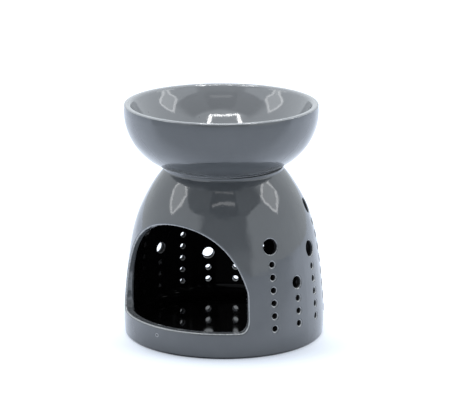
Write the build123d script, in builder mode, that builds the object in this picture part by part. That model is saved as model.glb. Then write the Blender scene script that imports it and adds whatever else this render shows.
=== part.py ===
from build123d import *
import os
from math import acos, cos, degrees, radians, sin, tan

# Essential oil burner: a ceramic dome that holds a tealight, and an oil bowl that stands in its open top.
# Millimetres, +Z up. The origin is the centre of the base, and the arched opening faces -Y.

# Shell of the dome
wall = 3.3
belly_radius = 50.0
belly_height = 8.0
base_inset = 0.5
base_round = 1.2
flank_inset = 2.1
flank_height = 36.0
shoulder_inset = 5.8
shoulder_height = 56.0
neck_radius = 29.5
neck_height = 83.3
neck_lean_angle = 42.0

# Floor of the dome, and the foot ring under it; the wall is thicker where it meets the floor
low_wall = 4.2
recess_depth = 1.0
floor_thickness = 4.0
floor_round = 6.0
foot_width = 6.0
foot_round = 0.4

# Collar that carries the bowl
collar_height = 1.5
collar_width = 3.6
collar_depth = 3.6
collar_root_round = 1.0
collar_lip_round = 0.3

# Arched opening at the front, whose sides point at the axis
opening_half_angle = 48.3
opening_sill = 12.7
opening_knee = 32.0
opening_knee_round = 12.0
opening_top = 62.3
crown_width_share = 1.25
opening_corner = 6.0
opening_round = 1.0

# Columns of small holes with a larger one on top, from the right of the opening round the back to its left
column_counts = (6, 3, 5, 8, 4, 7, 3, 5, 6, 2, 8, 3, 5, 7)
tall_column_count = 5
column_margin_angle = 15.9
first_hole_rise = 5.3
hole_bridge = 3.35
small_bore = 3.0
medium_bore = 6.0
large_bore = 7.9
hole_bevel = 0.7
hole_bevel_angle = 110.0

# Oil bowl
bowl_radius = 48.0
bowl_height = 31.2
bowl_brow_height = 3.4
bowl_brow_inset = 0.3
bowl_lip_width = 2.9
bowl_lip_round = 0.8
bowl_inner_round = 1.9
bowl_step_height = 0.5
bowl_step_inset = 0.2
bowl_step_round = 0.2
bowl_floor_radius = 5.0
bowl_floor_rise = 3.2
bowl_floor_thickness = 4.0
bowl_foot_depth = 4.0
bowl_foot_width = 3.6
bowl_foot_round = 0.8

# Seat of the bowl: its foot ring is loose in the collar, and lies towards one side of it
seat_clearance = 1.7
seat_shift_share = 0.8
seat_shift_angle = 214.0

# How far a cut runs past what it cuts
overrun = 5.0

base_radius = belly_radius - base_inset
floor_height = recess_depth + floor_thickness
seat_height = neck_height + collar_height
mouth_radius = neck_radius - collar_width
foot_radius = base_radius - foot_width
opening_depth = (belly_radius - wall) * cos(radians(opening_half_angle)) - overrun


def round_corner(sketch, corner, radius):
    """Round the corner of a profile that lies at this point."""
    fillet(sketch.vertices().sort_by_distance(corner)[0], radius)


def inside_of(side, point, thickness):
    """The point of a wall's inner face that lies opposite a point of its outer side."""
    along = side.tangent_at(point)
    return Vector(point) + thickness * Vector(-along.Y, along.X)


def opening_outline(distance):
    """The arch of the opening, on an upright plane this far in front of the axis."""
    half_width = distance * tan(radians(opening_half_angle))
    with BuildSketch(Plane.XZ.offset(distance)) as outline:
        with BuildLine():
            crown_angle = degrees(acos(1 / crown_width_share))
            crown_height = (opening_top - opening_knee) / (1 - sin(radians(crown_angle)))
            crown = EllipticalCenterArc(
                (0, opening_top - crown_height),
                half_width * crown_width_share,
                crown_height,
                crown_angle,
                arc_size=180 - 2 * crown_angle,
            )
            Polyline(crown @ 1, (-half_width, opening_sill), (half_width, opening_sill), crown @ 0)
        make_face()
        fillet(outline.vertices().group_by(Axis.Y)[0], opening_corner)
        fillet(outline.vertices().group_by(Axis.Y)[-1], opening_knee_round)
    return outline.sketch


def hole_plane(side, turn, rise):
    """A plane square to the dome's side, turned from the front and this far up along the side."""
    point = side.position_at(rise, PositionMode.LENGTH)
    along = side.tangent_at(rise, PositionMode.LENGTH)
    origin = Vector(0, -point.X, point.Y).rotate(Axis.Z, turn)
    outward = Vector(0, -along.Y, -along.X).rotate(Axis.Z, turn)
    return Plane(origin, z_dir=outward)


with BuildPart() as burner_body:
    # Half section of the shell, turned about the upright axis
    with BuildSketch(Plane.XZ) as shell_profile:
        with BuildLine():
            flank = (belly_radius - flank_inset, flank_height)
            shoulder = (belly_radius - shoulder_inset, shoulder_height)
            neck = (neck_radius, neck_height)
            neck_lean = Vector(0, 1).rotate(Axis.Z, neck_lean_angle)
            side = Spline((belly_radius, belly_height), flank, shoulder, neck, tangents=((0, 1), neck_lean))
            collar = Polyline(
                neck,
                (neck_radius, seat_height),
                (mouth_radius, seat_height),
                (mouth_radius, seat_height - collar_depth),
            )
            Spline(
                (base_radius - low_wall, floor_height),
                inside_of(side, flank, wall),
                inside_of(side, shoulder, wall),
                collar @ 1,
                tangents=((0, 1), neck_lean),
            )
            Polyline(
                (base_radius - low_wall, floor_height),
                (0, floor_height),
                (0, recess_depth),
                (foot_radius, recess_depth),
                (foot_radius, 0),
                (base_radius, 0),
            )
            TangentArc((belly_radius, belly_height), (base_radius, 0), tangent=(0, -1))
        make_face()
        round_corner(shell_profile, (neck_radius, neck_height), collar_root_round)
        round_corner(shell_profile, (neck_radius, seat_height), collar_lip_round)
        round_corner(shell_profile, (mouth_radius, seat_height), collar_lip_round)
        round_corner(shell_profile, (base_radius - low_wall, floor_height), floor_round)
        round_corner(shell_profile, (foot_radius, recess_depth), foot_round)
        round_corner(shell_profile, (foot_radius, 0), foot_round)
        round_corner(shell_profile, (base_radius, 0), base_round)
    revolve(axis=Axis.Z)

    # Arched opening, rounded where its sides meet the inside and the outside of the shell
    cut_sections = [opening_outline(opening_depth), opening_outline(belly_radius + overrun)]
    loft(cut_sections, ruled=True, mode=Mode.SUBTRACT)
    opening_edges = faces(Select.LAST).filter_by(GeomType.REVOLUTION, reverse=True).edges()
    fillet([edge for edge in opening_edges if opening_edges.count(edge) == 1], opening_round)

    # Columns of holes, drilled square to the wall and bevelled on the outside
    first_turn = opening_half_angle + column_margin_angle
    column_step = (360 - 2 * first_turn) / (len(column_counts) - 1)
    planes = {small_bore: [], medium_bore: [], large_bore: []}
    for column, count in enumerate(column_counts):
        turn = first_turn + column * column_step
        for row in range(count):
            rise = first_hole_rise + row * (small_bore + hole_bridge)
            planes[small_bore].append(hole_plane(side, turn, rise))
        top_bore = large_bore if count >= tall_column_count else medium_bore
        top_rise = rise + (small_bore + top_bore) / 2 + hole_bridge
        planes[top_bore].append(hole_plane(side, turn, top_rise))
    bevel_depth = hole_bevel / tan(radians(hole_bevel_angle / 2))
    for bore, bore_planes in planes.items():
        with Locations(*[plane.offset(bevel_depth) for plane in bore_planes]):
            CounterSinkHole(
                bore / 2, bore / 2 + 2 * hole_bevel, low_wall + overrun, counter_sink_angle=hole_bevel_angle
            )

with BuildPart() as oil_bowl:
    # Half section of the bowl about its own axis, which stands a little beside the axis of the dome
    seat_shift = Vector(seat_clearance * seat_shift_share, 0, 0).rotate(Axis.Z, seat_shift_angle)
    bowl_plane = Plane(seat_shift, x_dir=Plane.XZ.x_dir, z_dir=Plane.XZ.z_dir)
    rim_height = seat_height + bowl_height
    brow_height = rim_height - bowl_brow_height
    lip_radius = bowl_radius - bowl_brow_inset
    bowl_floor = seat_height + bowl_floor_rise
    step_radius = neck_radius - bowl_step_inset
    bowl_foot_radius = mouth_radius - seat_clearance
    bowl_foot_height = seat_height - bowl_foot_depth
    with BuildSketch(bowl_plane) as bowl_profile:
        with BuildLine():
            brow = (bowl_radius, brow_height)
            TangentArc(brow, (lip_radius, rim_height), tangent=(0, 1))
            lip = Line((lip_radius, rim_height), (lip_radius - bowl_lip_width, rim_height))
            TangentArc((bowl_floor_radius, bowl_floor), lip @ 1, tangent=(1, 0))
            Polyline(
                (bowl_floor_radius, bowl_floor),
                (0, bowl_floor),
                (0, bowl_floor - bowl_floor_thickness),
                (bowl_foot_radius - bowl_foot_width, bowl_floor - bowl_floor_thickness),
                (bowl_foot_radius - bowl_foot_width, bowl_foot_height),
                (bowl_foot_radius, bowl_foot_height),
                (bowl_foot_radius, seat_height),
                (step_radius, seat_height),
                (step_radius, seat_height + bowl_step_height),
            )
            TangentArc(brow, (step_radius, seat_height + bowl_step_height), tangent=(0, -1))
        make_face()
        round_corner(bowl_profile, (lip_radius, rim_height), bowl_lip_round)
        round_corner(bowl_profile, (lip_radius - bowl_lip_width, rim_height), bowl_inner_round)
        round_corner(bowl_profile, (step_radius, seat_height), bowl_step_round)
        round_corner(bowl_profile, (bowl_foot_radius - bowl_foot_width, bowl_foot_height), bowl_foot_round)
        round_corner(bowl_profile, (bowl_foot_radius, bowl_foot_height), bowl_foot_round)
    revolve(axis=Axis(seat_shift, (0, 0, 1)))

os.makedirs("parts", exist_ok=True)
for builder, label in ((burner_body, "burner_body"), (oil_bowl, "oil_bowl")):
    builder.part.label = label
    export_step(builder.part, f"parts/{label}.step")
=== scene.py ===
import math

import bpy
import numpy as np
from mathutils import Matrix, Vector


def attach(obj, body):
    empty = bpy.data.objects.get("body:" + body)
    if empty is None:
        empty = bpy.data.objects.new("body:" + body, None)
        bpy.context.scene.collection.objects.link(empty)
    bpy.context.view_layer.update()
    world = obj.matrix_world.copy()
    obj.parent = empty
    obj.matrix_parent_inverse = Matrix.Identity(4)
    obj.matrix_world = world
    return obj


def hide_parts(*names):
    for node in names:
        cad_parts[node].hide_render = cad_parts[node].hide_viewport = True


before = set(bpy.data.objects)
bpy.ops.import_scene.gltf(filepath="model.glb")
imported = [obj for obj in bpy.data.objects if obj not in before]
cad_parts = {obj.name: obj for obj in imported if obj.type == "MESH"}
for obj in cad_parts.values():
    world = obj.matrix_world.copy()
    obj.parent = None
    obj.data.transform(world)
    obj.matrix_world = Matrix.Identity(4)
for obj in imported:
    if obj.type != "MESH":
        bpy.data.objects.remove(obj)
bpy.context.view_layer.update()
scene = bpy.context.scene
scene.view_settings.view_transform = "Standard"

# Camera, in metres, degrees and pixels: it stands to the right of the arched opening, which faces -Y
camera_turn = 34.2
camera_distance = 1.195
camera_height = 0.3753
camera_sideways = 0.0005
camera_pitch = 14.48
image_width = 450
focal_pixels = 2488.5
sensor_width = 36.0

# Light box, in degrees round from the camera's side and up: white walls, and an open front that is dark
wall_light = 1.15
wall_colour = (0.93, 0.99, 1.04, 1)
horizon_light = 1.1
horizon_blur = 30.0
front_light = 0.38
front_half_angle = 29.0
front_side_blur = 10.0
front_top = 62.0
front_top_blur = 3.0
low_front_light = 0.6
low_front_rise = 4.0
low_front_blur = 12.0

# Upper part of the front: a darker flap in its middle, and a hood that reaches further round on both sides
upper_front_light = 0.17
upper_front_rise = 36.0
upper_front_blur = 4.0
flap_half_angle = 24.0
flap_blur = 4.0
hood_light = 0.38
hood_rise = 35.0
hood_blur = 6.0
hood_extra_angle = 38.0
hood_side_blur = 12.0

# Side panels with bright edges, which face a point on the burner's axis
lamp_target_height = 0.06
panel_distance = 0.9
panel_turn = 88.0
panel_rise = 36.0
panel_tilt = 22.0
panel_width = 0.32
panel_height = 0.26
panel_brightness = 0.75
panel_bar = 0.042
panel_edge_brightness = 2.0
panel_edge_lead = 0.002

# Bright edges of the flap: the height and brightness of each
flap_edges = ((0.252, 1.1), (0.352, 0.65))
flap_distance = 0.2
flap_edge_width = 0.14
flap_edge_bar = 0.014

# Lamp frame above the burner, with a row of beads for its front
ring_height = 0.72
ring_front = 0.15
ring_back = -0.2
ring_half_width = 0.15
ring_sideways = -0.035
ring_bar = 0.03
ring_brightness = 16.0
ring_bead_count = 13
ring_bead_width = 0.009
ring_bead_brightness = 25.0

# Floor: its glow makes it white, less so close in front of the burner, and its colour darkens close to the
# burner, a painted shadow; reflections show other shares of it
floor_size = 6.0
floor_colour = (0.66, 0.69, 0.75, 1)
floor_shade = (0.10, 0.11, 0.13, 1)
floor_glow = (0.52, 0.55, 0.60, 1)
mirrored_glow = (0.52, 0.57, 0.67, 1)
mirrored_side_share = 1.15
mirrored_front_share = 0.34
mirrored_front = 0.11
contact_reach = 0.035
contact_front = 0.045
contact_samples = 8
contact_shade = (0.2, 0.6)
contact_power = 2.0

# Dome, in metres and degrees: where its outer skin ends, and the sides of its opening
collar_root = 0.0829
floor_middle = 0.003
bare_height = 0.0001
opening_half_angle = 48.3
jamb_margin_angle = 1.8
jamb_top = 0.066
jamb_reach = 0.005

# Depths, in metres, from which on depth counts for more in the holes and for less beside the opening, so
# that the painted shade comes on sooner in the holes and later beside the opening
bevel_depth = 0.0005
bore_stretch = 8.0
jamb_thin_depth = 0.0012
jamb_stretch = 0.35
millimetres_per_metre = 1000

# Bowl: the pale crest of its rim, partly thin glaze and partly a painted highlight, and shares of painted
# light on its inside and its underside
rim_crest = 0.0005
crest_depth = 0.15
inside_lean = 0.3
inside_floor = 0.0875
low_light_share = 0.35
high_light_share = 0.85
under_top = 0.098
under_bottom = 0.09
under_light_share = 0.22

# Colours of the glaze and of the bare clay, and of the painted light, painted highlight and painted shade
glaze_grey = (0.064, 0.070, 0.077, 1)
glaze_pale = (0.076, 0.082, 0.089, 1)
painted_light_grey = (0.30, 0.31, 0.325, 1)
thin_glaze_and_highlight = (0.42, 0.43, 0.44, 1)
speck_and_pit_shade_colour = (0.035, 0.036, 0.04, 1)
painted_chamber_shade = (0.004, 0.004, 0.005, 1)
painted_chamber_shade_warm = (0.009, 0.008, 0.008, 1)
bore_grey = (0.06, 0.063, 0.068, 1)
bare_clay = (0.50, 0.45, 0.39, 1)
glaze_index = 1.85
chamber_index = 1.25

# Scale and detail of the noise in the glaze
cloud_noise = (45.0, 2.0)
grain_noise = (900.0, 3.0)
swell_noise = (70.0, 1.0)
ripple_noise = (420.0, 1.0)
smoke_noise = (60.0, 3.0)

# Clouds and grain in the glaze, and where noise breaks up the pale edges, which are partly thin glaze and
# partly a painted highlight
cloud_range = (0.3, 0.7)
grain_share = 0.3
grain_middle = 0.15
edge_break_range = (0.1, 0.6)

# Depths under the skin, in millimetres, over which the colour changes, from pale edges that are partly thin
# glaze and partly a painted highlight to painted shade deeper in
edge_start = (0.08, 0.3)
edge_end = (1.1, 0.6)
jamb_pale_end = (2.6, 2.4)
jamb_pale_share = 0.17
painted_shade_depths = (2.4, 3.0)
chamber_start = 2.8
bore_grey_end = (10.0, 5.0)
bore_rough_end = (20.0, 16.0)

# Specks in a few of the cells, and one pinhole whose pit, darkened as painted shade, and pale ring are
# given in sizes of the pinhole
speck_scale = 170.0
speck_range = (0.07, 0.03)
speck_threshold = 0.9
speck_strength = 0.7
pinhole_turn = -40.8
pinhole_radius = 0.04995
pinhole_height = 0.0085
pinhole_size = 0.0005
pit_edge = (1.2, 0.6)
halo_inner_edge = (1.0, 1.4)
halo_outer_edge = (2.4, 1.6)
halo_strength = 0.6

# Roughness of the glaze, and the low waves in it, which fade below the skin and inside the bowl
glaze_roughness = 0.045
cloud_roughness = 0.05
bare_roughness = 0.75
chamber_roughness = 0.03
smoke_roughness = 0.06
bore_roughness = 0.8
ripple_share = 0.05
pit_share = 0.8
wave_height = 0.0004
wave_end = (0.5, 2.0)
bowl_wave_end = (0.0, 0.2)


def front_direction(turn, rise):
    """The direction that lies this far round from the camera's side, to its right, and this far up."""
    around = math.radians(camera_turn + turn)
    up = math.radians(rise)
    return Vector((math.sin(around) * math.cos(up), -math.cos(around) * math.cos(up), math.sin(up)))


def add_camera():
    back = front_direction(0.0, 0.0)
    right = front_direction(90.0, 0.0)
    data = bpy.data.cameras.new("camera")
    data.sensor_width = sensor_width
    data.sensor_fit = "HORIZONTAL"
    data.lens = focal_pixels / image_width * sensor_width
    camera = bpy.data.objects.new("camera", data)
    scene.collection.objects.link(camera)
    eye = back * camera_distance + right * camera_sideways + Vector((0, 0, camera_height))
    turned = Matrix.Rotation(math.radians(camera_turn), 4, "Z")
    tilted = Matrix.Rotation(math.radians(90 - camera_pitch), 4, "X")
    camera.matrix_world = Matrix.Translation(eye) @ turned @ tilted
    scene.camera = camera


def add_area_light(name, place, width, height, brightness):
    """A flat lamp, whose place is a matrix with the lamp in its XY plane, shining down its -Z."""
    data = bpy.data.lights.new(name, "AREA")
    data.shape = "RECTANGLE"
    data.size = width
    data.size_y = height
    data.energy = brightness * math.pi * width * height
    lamp = bpy.data.objects.new(name, data)
    scene.collection.objects.link(lamp)
    lamp.matrix_world = place


def add_light_frame(name, place, width, height, bar, brightness, sides=("lower", "upper", "left", "right")):
    """Lamps along some sides of a rectangle."""
    for side, x, y, across, along in (
        ("lower", 0, -height / 2, width, bar),
        ("upper", 0, height / 2, width, bar),
        ("left", -width / 2, 0, bar, height - bar),
        ("right", width / 2, 0, bar, height - bar),
    ):
        if side in sides:
            spot = place @ Matrix.Translation((x, y, 0))
            add_area_light(f"{name}_{side}", spot, across, along, brightness)


def facing_place(spot, target):
    """The place of a lamp that stands at a spot and shines at a target."""
    return Matrix.Translation(spot) @ (target - spot).to_track_quat("-Z", "Y").to_matrix().to_4x4()


def add_panels(target):
    for side, name in ((-1, "left"), (1, "right")):
        spot = target + front_direction(side * panel_turn, panel_rise) * panel_distance
        place = facing_place(spot, target) @ Matrix.Rotation(math.radians(side * panel_tilt), 4, "Z")
        add_area_light(f"{name}_panel", place, panel_width, panel_height, panel_brightness)
        place = place @ Matrix.Translation((0, 0, -panel_edge_lead))
        add_light_frame(f"{name}_edge", place, panel_width, panel_height, panel_bar, panel_edge_brightness)


def add_flap_edges(target):
    for edge, (edge_height, brightness) in enumerate(flap_edges):
        spot = front_direction(0.0, 0.0) * flap_distance + Vector((0, 0, edge_height))
        place = facing_place(spot, target)
        add_area_light(f"flap_edge_{edge}", place, flap_edge_width, flap_edge_bar, brightness)


def add_ring():
    length = ring_front - ring_back
    middle = front_direction(0.0, 0.0) * (ring_front + ring_back) / 2
    middle = middle + front_direction(90.0, 0.0) * ring_sideways + Vector((0, 0, ring_height))
    place = Matrix.Translation(middle) @ Matrix.Rotation(math.radians(camera_turn), 4, "Z")
    solid_sides = ("upper", "left", "right")
    add_light_frame("ring", place, 2 * ring_half_width, length, ring_bar, ring_brightness, solid_sides)
    for bead in range(ring_bead_count):
        across = (2 * bead / (ring_bead_count - 1) - 1) * ring_half_width
        spot = place @ Matrix.Translation((across, -length / 2, 0))
        add_area_light(f"ring_bead_{bead}", spot, ring_bead_width, ring_bar, ring_bead_brightness)


def node(tree, kind, **values):
    made = tree.nodes.new(kind)
    for key, value in values.items():
        setattr(made, key, value)
    return made


def feed(tree, socket, value):
    """Link another node's output to a socket, or set the socket."""
    if isinstance(value, bpy.types.NodeSocket):
        tree.links.new(value, socket)
    else:
        socket.default_value = value


def math_node(tree, operation, first, second=None, clamp=False):
    made = node(tree, "ShaderNodeMath", operation=operation, use_clamp=clamp)
    feed(tree, made.inputs[0], first)
    if second is not None:
        feed(tree, made.inputs[1], second)
    return made.outputs[0]


def multiply(tree, first, second):
    return math_node(tree, "MULTIPLY", first, second)


def rest_of(tree, share):
    """What a share leaves of 1."""
    return math_node(tree, "SUBTRACT", 1.0, share)


def ramp(tree, value, start, end):
    """A value from 0 at start to 1 at end, with soft ends."""
    made = node(tree, "ShaderNodeMapRange", interpolation_type="SMOOTHSTEP")
    feed(tree, made.inputs["Value"], value)
    made.inputs["From Min"].default_value = min(start, end)
    made.inputs["From Max"].default_value = max(start, end)
    made.inputs["To Min"].default_value = 0.0 if start < end else 1.0
    made.inputs["To Max"].default_value = 1.0 if start < end else 0.0
    return made.outputs[0]


def blend_value(tree, share, first, second):
    made = node(tree, "ShaderNodeMix")
    feed(tree, made.inputs[0], share)
    feed(tree, made.inputs[2], first)
    feed(tree, made.inputs[3], second)
    return made.outputs[0]


def mix_colour(tree, share, first, second):
    made = node(tree, "ShaderNodeMix", data_type="RGBA")
    feed(tree, made.inputs[0], share)
    feed(tree, made.inputs[6], first)
    feed(tree, made.inputs[7], second)
    return made.outputs[2]


def noise(tree, place, scale, detail):
    made = node(tree, "ShaderNodeTexNoise")
    tree.links.new(place, made.inputs["Vector"])
    made.inputs["Scale"].default_value = scale
    made.inputs["Detail"].default_value = detail
    return made.outputs["Fac"]


def kept_value(tree, name):
    """A value that the vertices of a piece carry."""
    return node(tree, "ShaderNodeAttribute", attribute_name=name).outputs["Fac"]


def light_box_world():
    world = bpy.data.worlds.new("light_box")
    world.use_nodes = True
    scene.world = world
    tree = world.node_tree
    tree.nodes.clear()

    # Degrees round from the camera's side, and degrees up
    coordinate = node(tree, "ShaderNodeTexCoord")
    turned = node(tree, "ShaderNodeVectorRotate", rotation_type="Z_AXIS")
    turned.inputs["Angle"].default_value = -math.radians(camera_turn)
    tree.links.new(coordinate.outputs["Generated"], turned.inputs["Vector"])
    parts = node(tree, "ShaderNodeSeparateXYZ")
    tree.links.new(turned.outputs[0], parts.inputs[0])
    x, y, z = parts.outputs
    around = math_node(tree, "ARCTAN2", x, multiply(tree, y, -1.0))
    around = math_node(tree, "DEGREES", math_node(tree, "ABSOLUTE", around))
    rise = math_node(tree, "DEGREES", math_node(tree, "ARCSINE", z))

    # The front, with its flap and hood
    hood = ramp(tree, rise, hood_rise, hood_rise + hood_blur)
    upper = ramp(tree, rise, upper_front_rise, upper_front_rise + upper_front_blur)
    flap = ramp(tree, around, flap_half_angle + flap_blur, flap_half_angle)
    low = ramp(tree, rise, low_front_rise + low_front_blur, low_front_rise)
    front = blend_value(tree, low, front_light, low_front_light)
    front = blend_value(tree, upper, front, upper_front_light)
    front = blend_value(tree, multiply(tree, hood, rest_of(tree, flap)), front, hood_light)

    # The walls, beside and above the front
    start = blend_value(tree, hood, front_half_angle, front_half_angle + hood_extra_angle)
    blur = blend_value(tree, hood, front_side_blur, front_side_blur + hood_side_blur)
    past_start = math_node(tree, "SUBTRACT", around, start)
    beside = ramp(tree, math_node(tree, "DIVIDE", past_start, blur), 0.0, 1.0)
    above = ramp(tree, rise, front_top, front_top + front_top_blur)
    wall = blend_value(tree, ramp(tree, rise, 0.0, horizon_blur), horizon_light, wall_light)
    strength = blend_value(tree, math_node(tree, "MAXIMUM", beside, above), front, wall)

    box = node(tree, "ShaderNodeBackground")
    box.inputs["Color"].default_value = wall_colour
    tree.links.new(strength, box.inputs["Strength"])
    output = node(tree, "ShaderNodeOutputWorld")
    tree.links.new(box.outputs[0], output.inputs["Surface"])


def floor_material():
    """Matt white with a painted shadow close to the burner, which glows for the camera and for reflections.
    """
    material = bpy.data.materials.new("floor")
    material.use_nodes = True
    tree = material.node_tree
    tree.nodes.clear()
    path = node(tree, "ShaderNodeLightPath").outputs
    contact = node(tree, "ShaderNodeAmbientOcclusion", samples=contact_samples)
    contact.inputs["Distance"].default_value = contact_reach
    openness = contact.outputs["AO"]
    ahead = node(tree, "ShaderNodeVectorMath", operation="DOT_PRODUCT")
    tree.links.new(node(tree, "ShaderNodeNewGeometry").outputs["Position"], ahead.inputs[0])
    ahead.inputs[1].default_value = front_direction(0.0, 0.0)
    ahead = ahead.outputs["Value"]

    matt = node(tree, "ShaderNodeBsdfDiffuse")
    # Painted shadow: the floor's colour darkens close to the burner, and its glow dims close in front of it
    shade = mix_colour(tree, ramp(tree, openness, *contact_shade), floor_shade, floor_colour)
    tree.links.new(shade, matt.inputs["Color"])

    mirrored = math_node(tree, "MAXIMUM", path["Is Glossy Ray"], path["Is Transmission Ray"])
    front = ramp(tree, ahead, 0.0, mirrored_front)
    mirrored_share = blend_value(tree, front, mirrored_side_share, mirrored_front_share)
    seen = math_node(tree, "MAXIMUM", path["Is Camera Ray"], multiply(tree, mirrored, mirrored_share))
    covered = rest_of(tree, math_node(tree, "POWER", openness, contact_power))
    covered = multiply(tree, covered, ramp(tree, ahead, 0.0, contact_front))
    glow = node(tree, "ShaderNodeEmission")
    glow_colour = mix_colour(tree, path["Is Camera Ray"], mirrored_glow, floor_glow)
    tree.links.new(glow_colour, glow.inputs["Color"])
    tree.links.new(multiply(tree, seen, rest_of(tree, covered)), glow.inputs["Strength"])

    both = node(tree, "ShaderNodeAddShader")
    tree.links.new(matt.outputs[0], both.inputs[0])
    tree.links.new(glow.outputs[0], both.inputs[1])
    output = node(tree, "ShaderNodeOutputMaterial")
    tree.links.new(both.outputs[0], output.inputs["Surface"])
    return material


def add_floor():
    mesh = bpy.data.meshes.new("floor")
    half = floor_size / 2
    corners = [(-half, -half, 0), (half, -half, 0), (half, half, 0), (-half, half, 0)]
    mesh.from_pydata(corners, [], [(0, 1, 2, 3)])
    floor = bpy.data.objects.new("floor", mesh)
    scene.collection.objects.link(floor)
    mesh.materials.append(floor_material())


def start_material(name, index):
    """A new material with its nodes, its main shader, and places on the piece for its textures."""
    material = bpy.data.materials.new(name)
    material.use_nodes = True
    tree = material.node_tree
    shader = tree.nodes["Principled BSDF"]
    shader.inputs["IOR"].default_value = index
    return material, tree, shader, node(tree, "ShaderNodeTexCoord").outputs["Object"]


def chamber_material():
    """Painted shade inside the dome: near black, and greyer and rough in the outer part of the holes."""
    material, tree, shader, place = start_material("chamber_shade_looks", chamber_index)
    depth = kept_value(tree, "skin_depth")
    smoke = noise(tree, place, *smoke_noise)
    colour = mix_colour(tree, smoke, painted_chamber_shade, painted_chamber_shade_warm)
    colour = mix_colour(tree, ramp(tree, depth, *bore_grey_end), colour, bore_grey)
    tree.links.new(colour, shader.inputs["Base Color"])

    gloss = math_node(tree, "ADD", multiply(tree, smoke, smoke_roughness), chamber_roughness)
    bore = multiply(tree, ramp(tree, depth, *bore_rough_end), bore_roughness)
    tree.links.new(math_node(tree, "MAXIMUM", gloss, bore), shader.inputs["Roughness"])
    return material


def pinhole_shares(tree, place):
    """Shares of the pit of the pinhole, low on the front, which is darkened as painted shade, and of the
    pale ring round it.
    """
    pinhole = front_direction(pinhole_turn, 0.0) * pinhole_radius + Vector((0, 0, pinhole_height))
    apart = node(tree, "ShaderNodeVectorMath", operation="DISTANCE")
    tree.links.new(place, apart.inputs[0])
    apart.inputs[1].default_value = pinhole
    apart = math_node(tree, "DIVIDE", apart.outputs["Value"], pinhole_size)
    halo = multiply(tree, ramp(tree, apart, *halo_inner_edge), ramp(tree, apart, *halo_outer_edge))
    return ramp(tree, apart, *pit_edge), multiply(tree, halo, halo_strength)


def speck_share(tree, place):
    """Share of small dark specks, in a few of the cells."""
    cells = node(tree, "ShaderNodeTexVoronoi")
    tree.links.new(place, cells.inputs["Vector"])
    cells.inputs["Scale"].default_value = speck_scale
    drawn = node(tree, "ShaderNodeSeparateColor")
    tree.links.new(cells.outputs["Color"], drawn.inputs[0])
    picked = math_node(tree, "GREATER_THAN", drawn.outputs[0], speck_threshold)
    speck = multiply(tree, ramp(tree, cells.outputs["Distance"], *speck_range), picked)
    return multiply(tree, speck, speck_strength)


def glaze_material():
    """Grey glaze: a little cloudy and wavy, with painted light in the bowl, pale edges that are partly thin
    glaze and partly a painted highlight, painted shade deep in the holes and the chamber, and wiped off the
    feet.
    """
    material, tree, shader, place = start_material("grey_glaze_looks", glaze_index)
    depth = kept_value(tree, "skin_depth")
    bare = kept_value(tree, "bare")
    painted_light = kept_value(tree, "painted_light")
    clouds = noise(tree, place, *cloud_noise)
    grain = noise(tree, place, *grain_noise)
    pit, halo = pinhole_shares(tree, place)

    # Colour, from the glaze itself to what lies over it
    share = math_node(tree, "ADD", ramp(tree, clouds, *cloud_range), multiply(tree, grain, grain_share))
    share = math_node(tree, "SUBTRACT", share, grain_middle, clamp=True)
    colour = mix_colour(tree, share, glaze_grey, glaze_pale)
    # Painted light: the bowl's inside, brighter towards the rim, and its underside are made paler
    colour = mix_colour(tree, painted_light, colour, painted_light_grey)
    colour = mix_colour(tree, speck_share(tree, place), colour, speck_and_pit_shade_colour)
    colour = mix_colour(tree, halo, colour, thin_glaze_and_highlight)
    # Painted shade: the pinhole's pit is darkened
    colour = mix_colour(tree, pit, colour, speck_and_pit_shade_colour)
    # Pale edges round the holes, on the rim's crest and on the sides of the opening: partly thin glaze,
    # partly a painted highlight
    jamb = multiply(tree, ramp(tree, depth, *jamb_pale_end), jamb_pale_share)
    edge = math_node(tree, "MAXIMUM", ramp(tree, depth, *edge_end), jamb)
    edge = multiply(tree, ramp(tree, depth, *edge_start), edge)
    thin_edge_and_highlight = multiply(tree, edge, ramp(tree, grain, *edge_break_range))
    colour = mix_colour(tree, thin_edge_and_highlight, colour, thin_glaze_and_highlight)
    # Painted shade: the glaze turns near black deeper in the holes and inside the dome
    colour = mix_colour(tree, ramp(tree, depth, *painted_shade_depths), colour, painted_chamber_shade)
    colour = mix_colour(tree, bare, colour, bare_clay)
    tree.links.new(colour, shader.inputs["Base Color"])

    gloss = math_node(tree, "ADD", multiply(tree, clouds, cloud_roughness), glaze_roughness)
    rough = math_node(tree, "MAXIMUM", gloss, multiply(tree, bare, bare_roughness))
    tree.links.new(rough, shader.inputs["Roughness"])

    # Low waves in the glaze, and the pit of the pinhole
    ripple = multiply(tree, noise(tree, place, *ripple_noise), ripple_share)
    swell = math_node(tree, "ADD", noise(tree, place, *swell_noise), ripple)
    smooth = math_node(tree, "MAXIMUM", ramp(tree, depth, *wave_end), ramp(tree, painted_light, *bowl_wave_end))
    swell = multiply(tree, swell, rest_of(tree, smooth))
    swell = math_node(tree, "SUBTRACT", swell, multiply(tree, pit, pit_share))
    bump = node(tree, "ShaderNodeBump")
    bump.inputs["Strength"].default_value = 1.0
    bump.inputs["Distance"].default_value = wave_height
    tree.links.new(swell, bump.inputs["Height"])
    tree.links.new(bump.outputs[0], shader.inputs["Normal"])
    return material


def vertex_places(mesh):
    """How far vertices lie from the upright axis, how high, and how far round from the front, at -Y."""
    points = np.empty(len(mesh.vertices) * 3)
    mesh.vertices.foreach_get("co", points)
    x, y, z = points.reshape(-1, 3).T
    return np.hypot(x, y), z, np.degrees(np.abs(np.arctan2(x, -y)))


def lies_inside(spot, before, after):
    """Whether a spot, as height and radius, lies on or inside the line between two others."""
    rise, reach = spot[0] - before[0], spot[1] - before[1]
    return rise * (after[1] - before[1]) >= reach * (after[0] - before[0])


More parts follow.
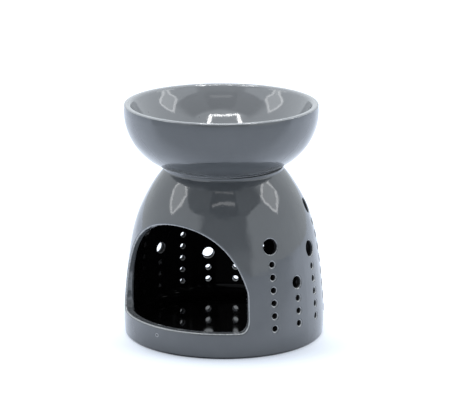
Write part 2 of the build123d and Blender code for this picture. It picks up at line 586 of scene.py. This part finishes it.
def depth_under_skin(radius, height):
    """How far vertices lie inside the dome's outer skin, which bulges outward from foot to collar."""
    skin = []
    below_collar = height < collar_root
    for spot in sorted(zip(height[below_collar], radius[below_collar])):
        while len(skin) > 1 and lies_inside(skin[-1], skin[-2], spot):
            skin.pop()
        skin.append(spot)
    skin_height, skin_radius = np.array(skin).T
    lean = np.gradient(skin_radius, skin_height)
    steep = 1 / np.sqrt(1 + np.interp(height, skin_height, lean) ** 2)
    return (np.interp(height, skin_height, skin_radius) - radius) * steep


def keep_values(mesh, name, values):
    """Let the vertices of a mesh carry values for its material."""
    kept = mesh.attributes.new(name, "FLOAT", "POINT")
    kept.data.foreach_set("value", np.asarray(values, dtype=np.float32))


def glazed_copy(name, glaze):
    """A piece that stands for a CAD node, with its shape, and can carry what the glaze needs to know."""
    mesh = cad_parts[name].data.copy()
    piece = bpy.data.objects.new(f"{name}_glazed", mesh)
    scene.collection.objects.link(piece)
    mesh.materials.clear()
    mesh.materials.append(glaze)
    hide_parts(name)
    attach(piece, name)
    return mesh


def add_body(glaze, painted_shade_material):
    """The dome, whose holes and inside have the chamber's material, which paints shade there."""
    mesh = glazed_copy("burner_body", glaze)
    radius, height, turn = vertex_places(mesh)
    depth = depth_under_skin(radius, height)
    jamb = (turn < opening_half_angle + jamb_margin_angle) & (height < jamb_top) & (depth < jamb_reach)
    # Depth is stretched in the holes and shrunk beside the opening, so the painted shade comes on sooner in
    # the holes
    bore_depth = np.maximum(depth, bevel_depth + (depth - bevel_depth) * bore_stretch)
    jamb_depth = np.minimum(depth, jamb_thin_depth + (depth - jamb_thin_depth) * jamb_stretch)
    foot_or_collar = (height < floor_middle) | (height > collar_root)
    depth = np.where(foot_or_collar, 0.0, np.where(jamb, jamb_depth, bore_depth)) * millimetres_per_metre
    keep_values(mesh, "skin_depth", depth)
    keep_values(mesh, "bare", height < bare_height)

    corners = np.empty(len(mesh.loops), dtype=np.int32)
    mesh.loops.foreach_get("vertex_index", corners)
    face_depth = depth[corners].reshape(-1, 3).mean(axis=1)
    mesh.materials.append(painted_shade_material)
    mesh.polygons.foreach_set("material_index", (face_depth > chamber_start).astype(np.int32))


def add_bowl(glaze):
    """The bowl, whose glaze has a pale rim, partly thin glaze and partly a painted highlight, and painted
    light on its inside and its underside.
    """
    mesh = glazed_copy("oil_bowl", glaze)
    height = vertex_places(mesh)[1]
    # The rim's crest gets a made-up depth that gives it a pale edge: partly thin glaze, partly a painted
    # highlight
    crest = np.clip(1 - (height.max() - height) / rim_crest, 0, 1)
    keep_values(mesh, "skin_depth", crest_depth * crest)
    keep_values(mesh, "bare", height < height.min() + bare_height)

    normals = np.empty(len(mesh.vertices) * 3)
    mesh.vertices.foreach_get("normal", normals)
    inside = normals.reshape(-1, 3)[:, 2] > inside_lean
    # Painted light: the inside grows paler towards the rim, and the underside is paler too
    rise = (height - inside_floor) / (height.max() - inside_floor)
    inside_light = low_light_share + (high_light_share - low_light_share) * rise ** 2
    under = under_light_share * np.clip((under_top - height) / (under_top - under_bottom), 0, 1)
    painted_light = np.where(height < inside_floor, under_light_share, np.where(inside, inside_light, under))
    keep_values(mesh, "painted_light", painted_light)


add_camera()
lamp_target = Vector((0, 0, lamp_target_height))
add_panels(lamp_target)
add_flap_edges(lamp_target)
add_ring()
light_box_world()
add_floor()
glaze = glaze_material()
add_body(glaze, chamber_material())
add_bowl(glaze)
